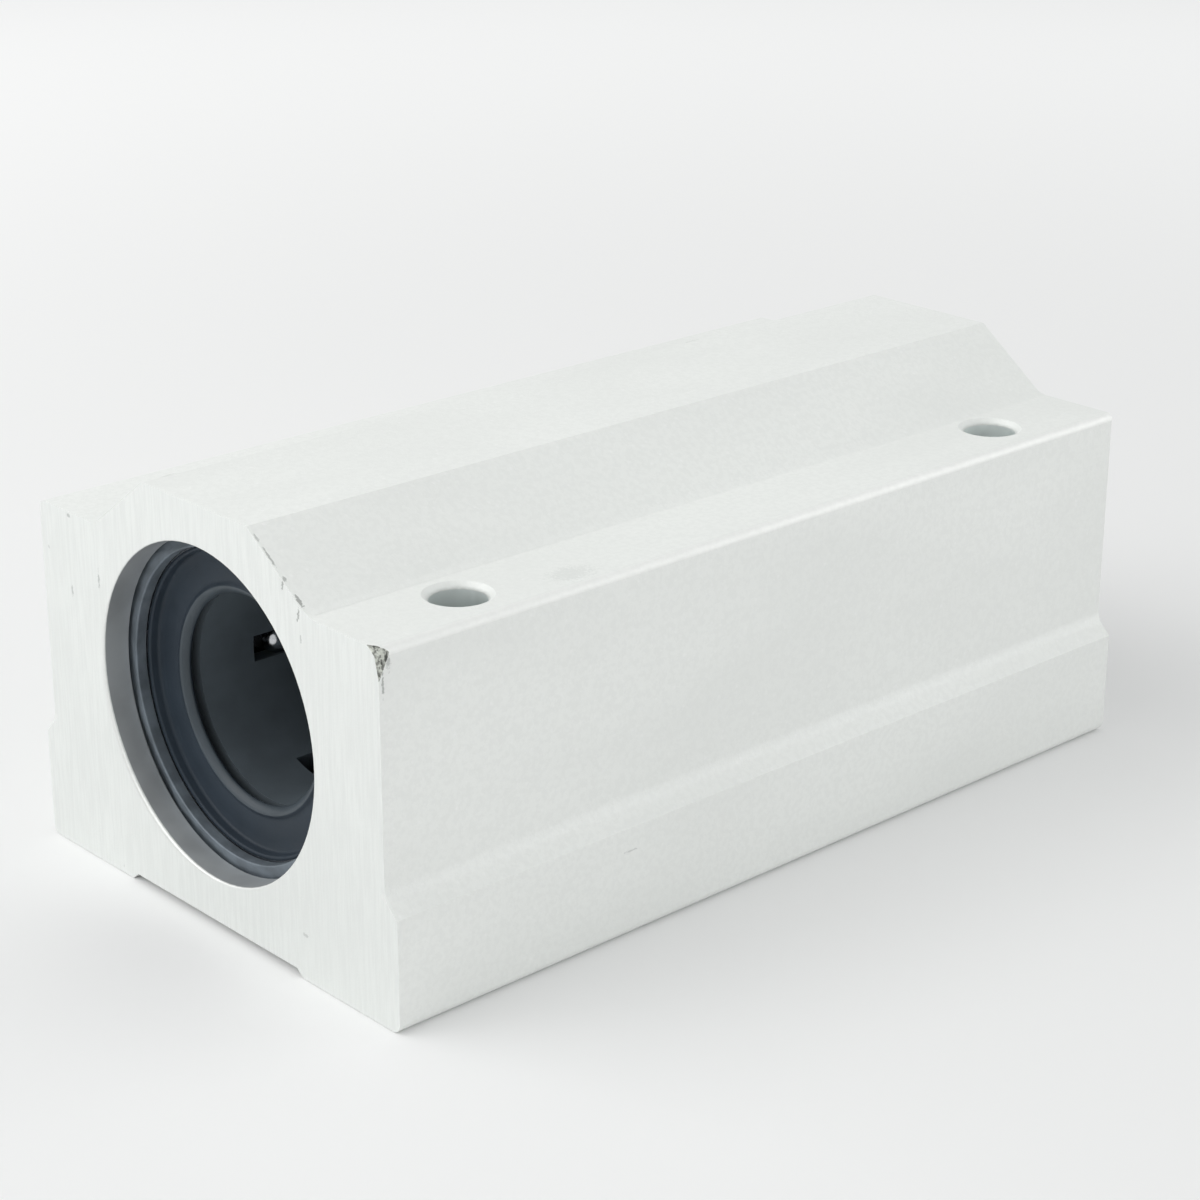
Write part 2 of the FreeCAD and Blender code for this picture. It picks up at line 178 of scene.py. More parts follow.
class EffectLibrary:
    """Builds each shared effect once, as a node group, and hands it out."""

    def __init__(self) -> None:
        """Starts with nothing built."""
        self.built: dict[Effect, bpy.types.NodeTree] = {}

    def tree(self, effect: Effect) -> bpy.types.NodeTree:
        """Returns the effect's node group, built at its first use."""
        if effect not in self.built:
            self.built[effect] = self._build(effect)
        return self.built[effect]

    def _build(self, effect: Effect) -> bpy.types.NodeTree:
        """Makes the group's sockets from SOCKETS, then the nodes inside it."""
        tree = bpy.data.node_groups.new(effect.value, "ShaderNodeTree")
        for name, start in SOCKETS[effect]:
            kind = "NodeSocketVector" if isinstance(start, tuple) else "NodeSocketFloat"
            way = "OUTPUT" if start is None else "INPUT"
            socket = tree.interface.new_socket(name=name, in_out=way, socket_type=kind)
            if start is not None:
                socket.default_value = start
        graph = Graph(tree)
        given = graph.add("NodeGroupInput").outputs
        made = getattr(self, "_" + effect.name.lower())(graph, given)
        end = graph.add("NodeGroupOutput")
        for name, socket in made.items():
            graph.feed(end.inputs[name], socket)
        return tree

    def _grain(self, graph: Graph, given: bpy.types.NodeOutputs) -> dict:
        """Fine dimples that blasting leaves, and a mask of a few of them for white glints painted
        into the colour: painted highlight.
        """
        scale = graph.inverse(given["Size"])
        point = graph.millimetres()
        fine = graph.noise(point, scale, 2.0, 0.6)
        cells = graph.add("TexVoronoi", {"Vector": point, "Scale": scale, "Randomness": 1.0})
        painted_glint = graph.band(cells.outputs["Color"], 0.62, 0.92)
        dot = graph.band(cells.outputs["Distance"], 0.42, 0.12)
        return {"Height": fine, "Glint": graph.share(painted_glint, dot)}

    def _lines(self, graph: Graph, given: bpy.types.NodeOutputs) -> dict:
        """Long fine lines: noise that is drawn out along the small parts of Stretch."""
        point = graph.vector("MULTIPLY", graph.millimetres(), given["Stretch"])
        return {"Height": graph.noise(point, graph.inverse(given["Spacing"]), 3.0, 0.65)}

    def _turning(self, graph: Graph, given: bpy.types.NodeOutputs) -> dict:
        """Rings that a boring or turning tool leaves, which change along Y only."""
        along = graph.add("SeparateXYZ", {0: graph.millimetres()}).outputs["Y"]
        feeds = {"W": along, "Scale": graph.inverse(given["Spacing"]), "Detail": 2.0}
        return {"Height": graph.add("TexNoise", feeds, noise_dimensions="1D").outputs[0]}

    def _patches(self, graph: Graph, given: bpy.types.NodeOutputs) -> dict:
        """Slow changes over the surface, from 0 to 1."""
        point = graph.vector("MULTIPLY", graph.millimetres(), given["Stretch"])
        noise = graph.noise(point, graph.inverse(given["Size"]), 3.0, 0.5)
        return {"Value": graph.band(noise, 0.3, 0.7)}

    def _pits(self, graph: Graph, given: bpy.types.NodeOutputs) -> dict:
        """Scattered small marks: a share of the cells has a ragged dot in it."""
        point = graph.millimetres()
        scale = graph.inverse(given["Spacing"])
        cells = graph.add("TexVoronoi", {"Vector": point, "Scale": scale, "Randomness": 1.0})
        ragged = graph.add("TexNoise", {"Vector": point, "Scale": 3.0, "Detail": 3.0}).outputs[0]
        away = graph.share(cells.outputs["Distance"], given["Spacing"])
        away = graph.maths("DIVIDE", away, graph.share(given["Size"], ragged))
        chosen = graph.maths("LESS_THAN", cells.outputs["Color"], given["Share"])
        return {"Mask": graph.share(graph.band(away, 1.6, 0.7), chosen)}

    def _mark(self, graph: Graph, given: bpy.types.NodeOutputs) -> dict:
        """One mark with a ragged outline, about Middle, reaching Reach each way, turned by Lean."""
        point = graph.millimetres()
        offset = graph.vector("SUBTRACT", point, given["Middle"])
        turned = graph.add(
            "VectorRotate", {"Vector": offset, "Angle": given["Lean"]}, rotation_type="Y_AXIS"
        ).outputs[0]
        away = graph.vector("LENGTH", graph.vector("DIVIDE", turned, given["Reach"]))
        noise = graph.noise(point, 3.2, 4.0, 0.7)
        swing = graph.share(graph.maths("SUBTRACT", noise, 0.5), 2.2)
        away = graph.maths("ADD", away, graph.share(swing, given["Ragged"]))
        return {"Mask": graph.band(away, 1.0, 0.62)}


EFFECTS = EffectLibrary()


# ---------------------------------------------------------------------------------------------
# finishes
# ---------------------------------------------------------------------------------------------


@dataclass(frozen=True)
class Mark:
    """A single wear mark, in millimetres on the block: where, how far it reaches, how dark.

    Its lean is in degrees about Y: at 0 the reach follows the block's own axes.
    """

    middle: Place
    reach: Place
    lean: float = 0.0
    colour: Colour = (0.30, 0.31, 0.30)
    strength: float = 0.8
    ragged: float = 0.5
    depth: float = 0.3


@dataclass(frozen=True)
class Finish:
    """What every finish has: a name, a colour, a gloss, and the way to make its material."""

    name: str
    colour: Colour
    roughness: float
    metallic: float = 1.0
    marks: tuple[Mark, ...] = ()

    def material(self) -> bpy.types.Material:
        """Returns the finish's material, made at its first use."""
        found = bpy.data.materials.get(self.name)
        return found if found else self._make()

    def _make(self) -> bpy.types.Material:
        """Makes the material: the finish's own pattern, then its marks, into one shader."""
        material = bpy.data.materials.new(self.name)
        material.use_nodes = True
        material.node_tree.nodes.clear()
        graph = Graph(material.node_tree)
        colour, roughness, height = self.pattern(graph)
        for mark in self.marks:
            mask = self.effect(
                graph,
                Effect.MARK,
                Middle=mark.middle,
                Reach=mark.reach,
                Lean=math.radians(mark.lean),
                Ragged=mark.ragged,
            )["Mask"]
            colour = graph.blend(graph.share(mask, mark.strength), colour, mark.colour)
            height = graph.maths("SUBTRACT", height, graph.share(mask, mark.depth))
        shader = graph.add(
            "BsdfPrincipled",
            {"Base Color": colour, "Roughness": roughness, "Metallic": self.metallic},
        )
        self.gloss(shader)
        relief = {"Height": height, "Strength": 1.0, "Distance": self.relief() * MM}
        bump = graph.add("Bump", relief)
        graph.feed(shader.inputs["Normal"], bump.outputs["Normal"])
        graph.add("OutputMaterial", {"Surface": shader.outputs[0]})
        return material

    def effect(self, graph: Graph, effect: Effect, **feeds: object) -> bpy.types.NodeOutputs:
        """Returns the outputs of a shared effect, placed with this finish's own values."""
        node = graph.add("Group", node_tree=EFFECTS.tree(effect))
        for name, value in feeds.items():
            graph.feed(node.inputs[name], value)
        return node.outputs

    def relief(self) -> float:
        """Returns how deep the finish's bumps are, in millimetres."""
        return 0.02

    def gloss(self, shader: bpy.types.Node) -> None:
        """Sets the shader's plain values that only some finishes have."""

    def pattern(self, graph: Graph) -> tuple[object, object, object]:
        """Returns the colour, roughness and height that vary over the surface."""
        raise NotImplementedError

    def uneven(self, graph: Graph, value: object, swing: float) -> bpy.types.NodeSocket:
        """Returns the finish's roughness, swung about its middle by a value from 0 to 1."""
        return graph.maths("ADD", self.roughness - swing / 2, graph.share(value, swing))

    def shade(self, factor: float) -> Colour:
        """Returns the finish's colour made lighter or darker."""
        return tuple(min(1.0, part * factor) for part in self.colour)


@dataclass(frozen=True)
class BlastedAluminium(Finish):
    """The extrusion's own skin: blasted fine, with faint draw lines along its length."""

    grain_size: float = 0.22
    coarseness: float = 2.6
    line_spacing: float = 0.5
    line_stretch: Place = (1.0, 0.012, 1.0)
    speck_share: float = 0.35
    painted_glint_share: float = 0.25
    painted_glint_colour: Colour = (0.99, 0.99, 0.99)

    def relief(self) -> float:
        """Returns the depth of the blasting."""
        return 0.028

    def pattern(self, graph: Graph) -> tuple[object, object, object]:
        """Returns a mottled pale metal with grain, painted glints (white specks of painted
        highlight) and draw lines.
        """
        grain = self.effect(graph, Effect.GRAIN, Size=self.grain_size)
        coarse = self.effect(graph, Effect.GRAIN, Size=self.grain_size * self.coarseness)
        draw = {"Spacing": self.line_spacing, "Stretch": self.line_stretch}
        lines = self.effect(graph, Effect.LINES, **draw)
        patches = self.effect(graph, Effect.PATCHES, Size=14.0, Stretch=(1.0, 0.35, 1.0))
        colour = graph.blend(patches["Value"], self.shade(0.975), self.shade(1.02))
        speck = graph.band(coarse["Height"], 0.40, 0.62)
        colour = graph.blend(graph.share(speck, self.speck_share), colour, self.shade(0.93))
        # white specks mixed into the colour: painted highlight, glints painted where the grain
        # would catch the light
        painted_glint = graph.share(coarse["Glint"], self.painted_glint_share)
        colour = graph.blend(painted_glint, colour, self.painted_glint_colour)
        height = graph.maths("ADD", grain["Height"], graph.share(lines["Height"], 0.25))
        height = graph.maths("ADD", height, graph.share(coarse["Height"], 0.5))
        return colour, self.uneven(graph, grain["Height"], 0.1), height


@dataclass(frozen=True)
class CutAluminium(Finish):
    """The cut and blasted ends: fine upright streaks from the saw, and a few pits."""

    streak_spacing: float = 0.35
    streak_stretch: Place = (1.0, 1.0, 0.06)
    grain_size: float = 0.25

    def pattern(self, graph: Graph) -> tuple[object, object, object]:
        """Returns pale metal with upright streaks."""
        upright = {"Spacing": self.streak_spacing, "Stretch": self.streak_stretch}
        streaks = self.effect(graph, Effect.LINES, **upright)
        grain = self.effect(graph, Effect.GRAIN, Size=self.grain_size)
        patches = self.effect(graph, Effect.PATCHES, Size=9.0)
        pits = self.effect(graph, Effect.PITS, Spacing=5.0, Size=0.30, Share=0.35)
        tone = graph.band(streaks["Height"], 0.35, 0.65)
        colour = graph.blend(tone, self.shade(0.965), self.shade(1.025))
        colour = graph.blend(graph.share(patches["Value"], 0.4), colour, self.shade(0.97))
        colour = graph.blend(graph.share(pits["Mask"], 0.35), colour, self.shade(0.55))
        height = graph.maths("ADD", graph.share(streaks["Height"], 0.7), grain["Height"])
        height = graph.maths("SUBTRACT", height, pits["Mask"])
        return colour, self.uneven(graph, tone, 0.08), height


@dataclass(frozen=True)
class TurnedMetal(Finish):
    """Metal with the rings of a boring bar, drill or lathe tool."""

    spacing: float = 0.18
    depth: float = 0.006

    def relief(self) -> float:
        """Returns the depth of the rings."""
        return self.depth

    def pattern(self, graph: Graph) -> tuple[object, object, object]:
        """Returns the metal with its rings and slow changes of tone."""
        rings = self.effect(graph, Effect.TURNING, Spacing=self.spacing)
        patches = self.effect(graph, Effect.PATCHES, Size=5.0)
        colour = graph.blend(patches["Value"], self.shade(0.9), self.shade(1.06))
        return colour, self.uneven(graph, patches["Value"], 0.08), rings["Height"]


@dataclass(frozen=True)
class DarkSteel(Finish):
    """Phosphated spring steel, a little uneven and oily."""

    grain_size: float = 0.12

    def relief(self) -> float:
        """Returns the depth of the phosphate's grain."""
        return 0.006

    def pattern(self, graph: Graph) -> tuple[object, object, object]:
        """Returns a mottled dark metal."""
        patches = self.effect(graph, Effect.PATCHES, Size=2.5)
        grain = self.effect(graph, Effect.GRAIN, Size=self.grain_size)
        colour = graph.blend(patches["Value"], self.shade(0.8), self.shade(1.2))
        return colour, self.uneven(graph, patches["Value"], 0.12), grain["Height"]


@dataclass(frozen=True)
class BrokenAluminium(Finish):
    """A torn surface: pale facets between cracks darkened with painted shade."""

    grit_size: float = 0.30

    def relief(self) -> float:
        """Returns the depth of the tears."""
        return 0.12

    def pattern(self, graph: Graph) -> tuple[object, object, object]:
        """Returns a broken metal, pale to nearly black."""
        grit = self.effect(graph, Effect.GRAIN, Size=self.grit_size)
        tears = self.effect(graph, Effect.LINES, Spacing=0.4, Stretch=(1.0, 1.0, 0.35))
        crack_shade = graph.band(tears["Height"], 0.52, 0.40)
        pale = graph.band(grit["Height"], 0.35, 0.65)
        colour = graph.blend(pale, self.shade(0.8), self.shade(2.0))
        # cracks darkened nearly black: painted shade in the tears
        colour = graph.blend(crack_shade, colour, self.shade(0.28))
        return colour, self.roughness, graph.maths("ADD", grit["Height"], tears["Height"])


@dataclass(frozen=True)
class Moulded(Finish):
    """Moulded rubber or plastic: a faint orange peel and a soft shine."""

    peel_size: float = 0.6
    shine: float = 0.3
    bending: float = 1.48

    def gloss(self, shader: bpy.types.Node) -> None:
        """Sets how strongly the moulding shines."""
        shader.inputs["Specular IOR Level"].default_value = self.shine
        shader.inputs["IOR"].default_value = self.bending

    def relief(self) -> float:
        """Returns the depth of the peel."""
        return 0.005

    def pattern(self, graph: Graph) -> tuple[object, object, object]:
        """Returns the near-black moulding."""
        patches = self.effect(graph, Effect.PATCHES, Size=4.0)
        peel = self.effect(graph, Effect.GRAIN, Size=self.peel_size)
        colour = graph.blend(patches["Value"], self.shade(0.92), self.shade(1.08))
        return colour, self.uneven(graph, patches["Value"], 0.08), peel["Height"]


# Small nicks and smears on the cut front end, then on the skin along its edges. The slopes lean
# by SLOPE_LEAN degrees.
SLOPE_LEAN = -36.2
SMEAR = (0.62, 0.64, 0.62)
FRONT_MARKS = (
    Mark((-16.0, -48.0, 29.6), (0.16, 1.0, 0.9), strength=0.45, ragged=1.6),
    Mark((-20.7, -48.0, 27.0), (0.15, 1.0, 0.6), strength=0.4, ragged=1.6),
    Mark((-20.5, -48.0, 34.6), (0.25, 1.0, 0.2), strength=0.45, ragged=1.6),
    Mark((14.0, -48.0, 4.5), (0.4, 1.0, 0.2), strength=0.3, ragged=1.6),
    Mark((12.6, -48.0, 36.9), (0.14, 1.0, 0.50), -12.0, strength=0.65, ragged=1.8),
    Mark((14.7, -48.0, 34.9), (0.16, 1.0, 0.60), -18.0, strength=0.7, ragged=1.8),
    Mark((14.9, -48.0, 32.9), (0.12, 1.0, 0.45), 5.0, strength=0.35, ragged=1.8),
)
SKIN_MARKS = (
    Mark((8.9, -47.85, 40.2), (0.50, 0.16, 0.30), SLOPE_LEAN, strength=0.45, ragged=1.5),
    Mark((10.7, -47.80, 38.9), (1.4, 0.13, 0.30), SLOPE_LEAN, strength=0.6, ragged=1.0),
    Mark((12.6, -47.75, 37.5), (0.35, 0.20, 0.30), SLOPE_LEAN, strength=0.6, ragged=1.6),
    Mark((14.6, -47.75, 36.0), (0.70, 0.20, 0.30), SLOPE_LEAN, strength=0.75, ragged=1.6),
    Mark((25.4, -47.0, 33.6), (0.5, 0.22, 0.7), strength=0.5, ragged=2.4, depth=0.5),
    Mark((25.4, -47.6, 31.8), (0.5, 0.13, 1.1), strength=0.65, ragged=1.6, depth=0.5),
    Mark((25.4, -44.6, 34.5), (0.4, 0.6, 0.16), strength=0.35, ragged=2.0),
    Mark((22.8, -24.6, 35.0), (1.6, 2.4, 0.6), 0.0, SMEAR, strength=0.3, ragged=1.6, depth=0.0),
    Mark((27.0, -21.0, 8.6), (0.5, 0.9, 0.12), strength=0.30, ragged=1.6),
)

SKIN = BlastedAluminium("blasted aluminium", (0.86, 0.875, 0.855), 0.60, 0.3, SKIN_MARKS)
ENDS = CutAluminium("cut aluminium ends", (0.86, 0.88, 0.86), 0.50, 0.4, FRONT_MARKS)
# smoother than the skin, and lighter in colour: the lighter colour is painted highlight along the
# eased edges, shoulder rounds and bore mouths
EASED_HIGHLIGHT = BlastedAluminium("eased edges with painted highlight", (0.90, 0.91, 0.89), 0.50, 0.4)
# much darker than the pale aluminium: painted shade of the dark bore, put into the wall's colour
BORED_SHADED = TurnedMetal("bored aluminium with painted shade", (0.52, 0.54, 0.55), 0.50, 0.6, spacing=0.12, depth=0.004)
DRILLED = TurnedMetal("drilled aluminium", (0.90, 0.94, 0.93), 0.52)
CHIPPED = BrokenAluminium("chipped corner", (0.34, 0.35, 0.32), 0.55, 0.6)
CIRCLIP = DarkSteel("phosphated circlip", (0.185, 0.215, 0.245), 0.58, 0.45)
SLEEVE = TurnedMetal("ground bearing steel", (0.42, 0.43, 0.45), 0.26, spacing=0.08, depth=0.002)
SPACER = TurnedMetal("turned aluminium", (0.74, 0.75, 0.76), 0.30)
# dark grey rather than the black plastic's own colour: painted light that lifts the dark inside of
# the bore
CAGE_LIGHTENED = Moulded("cage plastic with painted light", (0.125, 0.150, 0.170), 0.55, 0.0, shine=0.3)
RUBBER = Moulded("seal rubber", (0.031, 0.043, 0.058), 0.46, 0.0, shine=0.22)
# lighter than the seal rubber: painted highlight on the lip's bead and painted light in its shaded
# throat
LIP_HIGHLIGHT = Moulded("seal lip with painted highlight", (0.062, 0.078, 0.092), 0.40, 0.0, shine=0.35)
BALLS = TurnedMetal("polished ball steel", (0.58, 0.59, 0.61), 0.20, spacing=0.6, depth=0.0)


# ---------------------------------------------------------------------------------------------
# pieces
# ---------------------------------------------------------------------------------------------


def box_of(node: str) -> tuple[Vector, Vector]:
    """Returns the node's lowest and highest corners as vectors, in metres."""
    low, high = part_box(node)
    return Vector(low), Vector(high)


def bore_height() -> float:
    """Returns how high the bore's axis lies above the base, in metres."""
    low, high = box_of("front_outer_sleeve")
    return (low.z + high.z) / 2


def finish_piece(
    mesh: bmesh.types.BMesh,
    name: str,
    finishes: Sequence[Finish],
    nodes: Iterable[str],
    weigh: bool = True,
) -> bpy.types.Object:
    """Turns a built mesh into a piece of the block.

    Args:
        mesh: the mesh, which is freed here.
        name: the piece's name.
        finishes: its finishes, in the order of the faces' material numbers.
        nodes: the CAD nodes that it stands for.
        weigh: whether flat faces keep their own shade beside small eased edges.

    Returns:
        The new object.
    """
    for face in mesh.faces:
        face.smooth = True
    data = bpy.data.meshes.new(name)
    mesh.to_mesh(data)
    mesh.free()
    for finish in finishes:
        data.materials.append(finish.material())
    piece = bpy.data.objects.new(name, data)
    bpy.context.scene.collection.objects.link(piece)
    if weigh:
        shade = piece.modifiers.new("flat faces", "WEIGHTED_NORMAL")
        shade.weight = 100
        shade.keep_sharp = True
    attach(piece, "root")
    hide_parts(*nodes)
    log.info("%s: %d faces", name, len(data.polygons))
    return piece


def merged_copy(node: str, flat_within: float = 0.4) -> bmesh.types.BMesh:
    """Copies a CAD node's mesh, with its triangles joined into whole faces.

    Args:
        node: the CAD node.
        flat_within: how far in degrees two triangles of one flat face may turn.

    Returns:
        The copy, which the caller frees.
    """
    mesh = bmesh.new()
    mesh.from_mesh(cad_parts[node].data)
    bmesh.ops.remove_doubles(mesh, verts=mesh.verts, dist=WELD)
    bmesh.ops.dissolve_limit(
        mesh,
        angle_limit=math.radians(flat_within),
        verts=mesh.verts,
        edges=mesh.edges,
        use_dissolve_boundaries=False,
    )
    return mesh


def sharp_edges(mesh: bmesh.types.BMesh, degrees: float = 25.0) -> list[bmesh.types.BMEdge]:
    """Returns the edges whose two faces meet at more than the given turn."""
    limit = math.radians(degrees)
    return [e for e in mesh.edges if len(e.link_faces) == 2 and e.calc_face_angle() > limit]


def ease(
    mesh: bmesh.types.BMesh,
    edges: list[bmesh.types.BMEdge],
    width: float,
    steps: int = 2,
    number: int = -1,
) -> None:
    """Rounds edges.

    Args:
        mesh: the mesh.
        edges: the edges to round.
        width: how far the round reaches along each face, in millimetres.
        steps: faces across the round.
        number: the material number of the new faces, or -1 for their neighbour's.
    """
    bmesh.ops.bevel(
        mesh,
        geom=edges,
        affect="EDGES",
        offset=width * MM,
        offset_type="OFFSET",
        segments=steps,
        profile=0.5,
        clamp_overlap=True,
        material=number,
    )


class Face(Enum):
    """The housing's finishes, by the material number that its faces carry."""

    SKIN = 0
    END = 1
    EDGE = 2
    BORE = 3
    BOLT_HOLE = 4
    CHIP = 5


@dataclass
class Housing:
    """The aluminium housing: the CAD shape with eased edges, a chipped corner and its finishes.

    Lengths are millimetres and turns are degrees.

    Attributes:
        edge_round: reach of the round on the outer edges.
        hollow_round: reach of the round in the long hollow edges.
        hollow_from: least height of those hollow edges.
        crisp_from: turn from which an edge that isn't rounded stays crisp.
        bolt_across: half the distance between the bolt holes across the block.
        bolt_along: half the distance between them along it.
        hole_reach: radius within which a face belongs to a bolt hole.
        mouth_radius: the bore's wall, with a little to spare.
        mouth_depth: how far in from an end a mouth's chamfer lies.
        rim_from: least radius of the chamfer's outer edge.
        bore_reach: radius within which a face belongs to the bore.
        round_from: height from which the shoulders' outer rounds lie.
        round_out: how far to the side they lie.
        mouth_least: the eased mouth's width where it is narrowest.
        mouth_most: its width where it is widest.
        mouth_way: the way from the axis to the widest place.
        corner: the corner that is knocked off, across and up.
        chips: reach of each cut there across, along and down.
        finishes: the finishes, in the order of Face.
    """

    edge_round: float = 0.28
    hollow_round: float = 0.9
    hollow_from: float = 5.0
    crisp_from: float = 50.0
    bolt_across: float = 20.0
    bolt_along: float = 35.0
    hole_reach: float = 2.7
    mouth_radius: float = 16.03
    mouth_depth: float = 0.55
    rim_from: float = 16.23
    bore_reach: float = 17.2
    round_from: float = 33.0
    round_out: float = 24.0
    mouth_least: float = 0.10
    mouth_most: float = 0.34
    mouth_way: float = 228.0
    corner: tuple[float, float] = (25.4, 35.0)
    chips: tuple[Place, ...] = ((0.7, 1.5, 2.9), (0.5, 2.0, 1.6), (0.9, 1.0, 1.9), (1.5, 0.9, 1.2))
    finishes: tuple[Finish, ...] = (SKIN, ENDS, EASED_HIGHLIGHT, BORED_SHADED, DRILLED, CHIPPED)

    def build(self) -> bpy.types.Object:
        """Returns the finished housing."""
        mesh = merged_copy("housing")
        self._sort_faces(mesh)
        self._ease_mouths(mesh)
        self._chip_corner(mesh)
        hollows = [e for e in sharp_edges(mesh) if self._outside(e) and self._is_hollow(e)]
        ease(mesh, hollows, self.hollow_round, 4, Face.SKIN.value)
        outer = [e for e in sharp_edges(mesh) if self._outside(e)]
        # the rounded outer edges take the lighter edge finish, whose colour is painted highlight
        ease(mesh, outer, self.edge_round, 2, Face.EDGE.value)
        for edge in sharp_edges(mesh, self.crisp_from):
            edge.smooth = False
        return finish_piece(mesh, "housing_body", self.finishes, ["housing"])

    def _sort_faces(self, mesh: bmesh.types.BMesh) -> None:
        """Gives each face the number of its finish, from where it lies."""
        axis = bore_height()
        low, high = box_of("housing")
        for face in mesh.faces:
            reach = max(math.hypot(v.co.x, v.co.z - axis) for v in face.verts) / MM
            face.material_index = self._kind(face, reach, low.y / MM, high.y / MM).value

    def _kind(self, face: bmesh.types.BMFace, reach: float, front: float, rear: float) -> Face:
        """Tells which finish a face takes, from its place in millimetres.

        Args:
            face: the face.
            reach: how far its farthest corner is from the bore's axis.
            front: how far along the housing's front end lies.
            rear: how far along its rear end lies.

        Returns:
            The finish.
        """
        middle = face.calc_center_median() / MM
        if min(abs(middle.y - front), abs(rear - middle.y)) < 0.01:
            return Face.END
        if reach < self.bore_reach:
            at_mouth = abs(middle.y) > rear - self.mouth_depth
            return Face.EDGE if at_mouth and reach > self.rim_from else Face.BORE
        if self._in_bolt_hole(face):
            return Face.BOLT_HOLE
        slants = 0.05 < face.normal.z < 0.97
        if slants and middle.z > self.round_from and abs(middle.x) > self.round_out:
            return Face.EDGE
        return Face.SKIN

    def _ease_mouths(self, mesh: bmesh.types.BMesh) -> None:
        """Narrows the chamfer at each mouth of the bore to an eased edge, wider one way."""
        axis = bore_height()
        end = box_of("housing")[1].y
        rims = [f for f in mesh.faces if f.material_index == Face.EDGE.value]
        chamfer = [f for f in rims if abs(f.normal.y) > 0.5]
        for vert in {v for face in chamfer for v in face.verts}:
            turn = math.atan2(vert.co.z - axis, vert.co.x) - math.radians(self.mouth_way)
            swing = max(0.0, math.cos(turn)) ** 2
            size = self.mouth_least + (self.mouth_most - self.mouth_least) * swing
            radius = math.hypot(vert.co.x, vert.co.z - axis)
            if abs(vert.co.y) > end - 1e-6:
                share = (self.mouth_radius - 0.02 + size) * MM / radius
                vert.co.x *= share
                vert.co.z = axis + (vert.co.z - axis) * share
            else:
                vert.co.y = math.copysign(end - size * MM, vert.co.y)

    def _in_bolt_hole(self, face: bmesh.types.BMFace) -> bool:
        """Returns whether all of a face lies in one of the four bolt holes."""
        return all(
            math.hypot(abs(v.co.x) / MM - self.bolt_across, abs(v.co.y) / MM - self.bolt_along)
            < self.hole_reach
            for v in face.verts
        )

    def _outside(self, edge: bmesh.types.BMEdge) -> bool:
        """Returns whether an edge is one of the housing's outer ones, clear of bore and holes."""
        outer = {Face.SKIN.value, Face.END.value, Face.CHIP.value}
        return {face.material_index for face in edge.link_faces} <= outer

    def _is_hollow(self, edge: bmesh.types.BMEdge) -> bool:
        """Returns whether an edge is one of the long hollow ones, at a slope's foot or a step."""
        along = abs((edge.verts[0].co - edge.verts[1].co).normalized().y) > 0.99
        return along and not edge.is_convex and edge.verts[0].co.z > self.hollow_from * MM

    def _chip_corner(self, mesh: bmesh.types.BMesh) -> None:
        """Knocks the corner off between front end, right wall and shoulder, in ragged cuts."""
        across_at, up_at = self.corner
        corner = Vector((across_at, box_of("housing")[0].y / MM, up_at))
        for across, along, down in self.chips:
            normal = Vector((1.0 / across, -1.0 / along, 1.0 / down)).normalized()
            self._cut_away(mesh, corner - Vector((0.0, 0.0, down)), normal)

    def _cut_away(self, mesh: bmesh.types.BMesh, point: Vector, normal: Vector) -> None:
        """Removes what lies beyond a plane near the corner, and closes the cut.

        Args:
            mesh: the housing's mesh.
            point: a point on the plane, in millimetres.
            normal: the way that the plane faces.
        """
        near = [
            face
            for face in mesh.faces
            if any((vert.co / MM - point).dot(normal) > 1e-4 for vert in face.verts)
        ]
        geometry = list(dict.fromkeys(item for f in near for item in (*f.verts, *f.edges, f)))
        cut = bmesh.ops.bisect_plane(
            mesh, geom=geometry, dist=1e-7, plane_co=point * MM, plane_no=normal, clear_outer=True
        )
        rim = [item for item in cut["geom_cut"] if isinstance(item, bmesh.types.BMEdge)]
        filled = bmesh.ops.contextual_create(mesh, geom=rim)
        for face in filled["faces"]:
            face.material_index = Face.CHIP.value


@dataclass
class EasedCopy:
    """A plain turned or pressed piece: the CAD shape with its edges eased."""

    node: str
    name: str
    finish: Finish
    slot: str
    edge_round: float

    def build(self) -> bpy.types.Object:
        """Returns the finished piece."""
        mesh = merged_copy(self.node)
        ease(mesh, sharp_edges(mesh), self.edge_round)
        return finish_piece(mesh, self.name, [self.finish], [self.node])


@dataclass
class Circlips:
    """The pair of circlips, with their outer faces dished a little towards the groove."""

    dish: float = 0.42
    outer_from: float = 16.3
    edge_round: float = 0.16

    def build(self) -> bpy.types.Object:
        """Returns the finished pair."""
        mesh = merged_copy("circlips")
        low, high = box_of("circlips")
        axis = bore_height()
        for vert in mesh.verts:
            outside = min(vert.co.y - low.y, high.y - vert.co.y) < 1e-6
            if outside and math.hypot(vert.co.x, vert.co.z - axis) > self.outer_from * MM:
                vert.co.y -= math.copysign(self.dish * MM, vert.co.y)
        ease(mesh, sharp_edges(mesh), self.edge_round)
        return finish_piece(mesh, "circlip_pair", [CIRCLIP], ["circlips"])


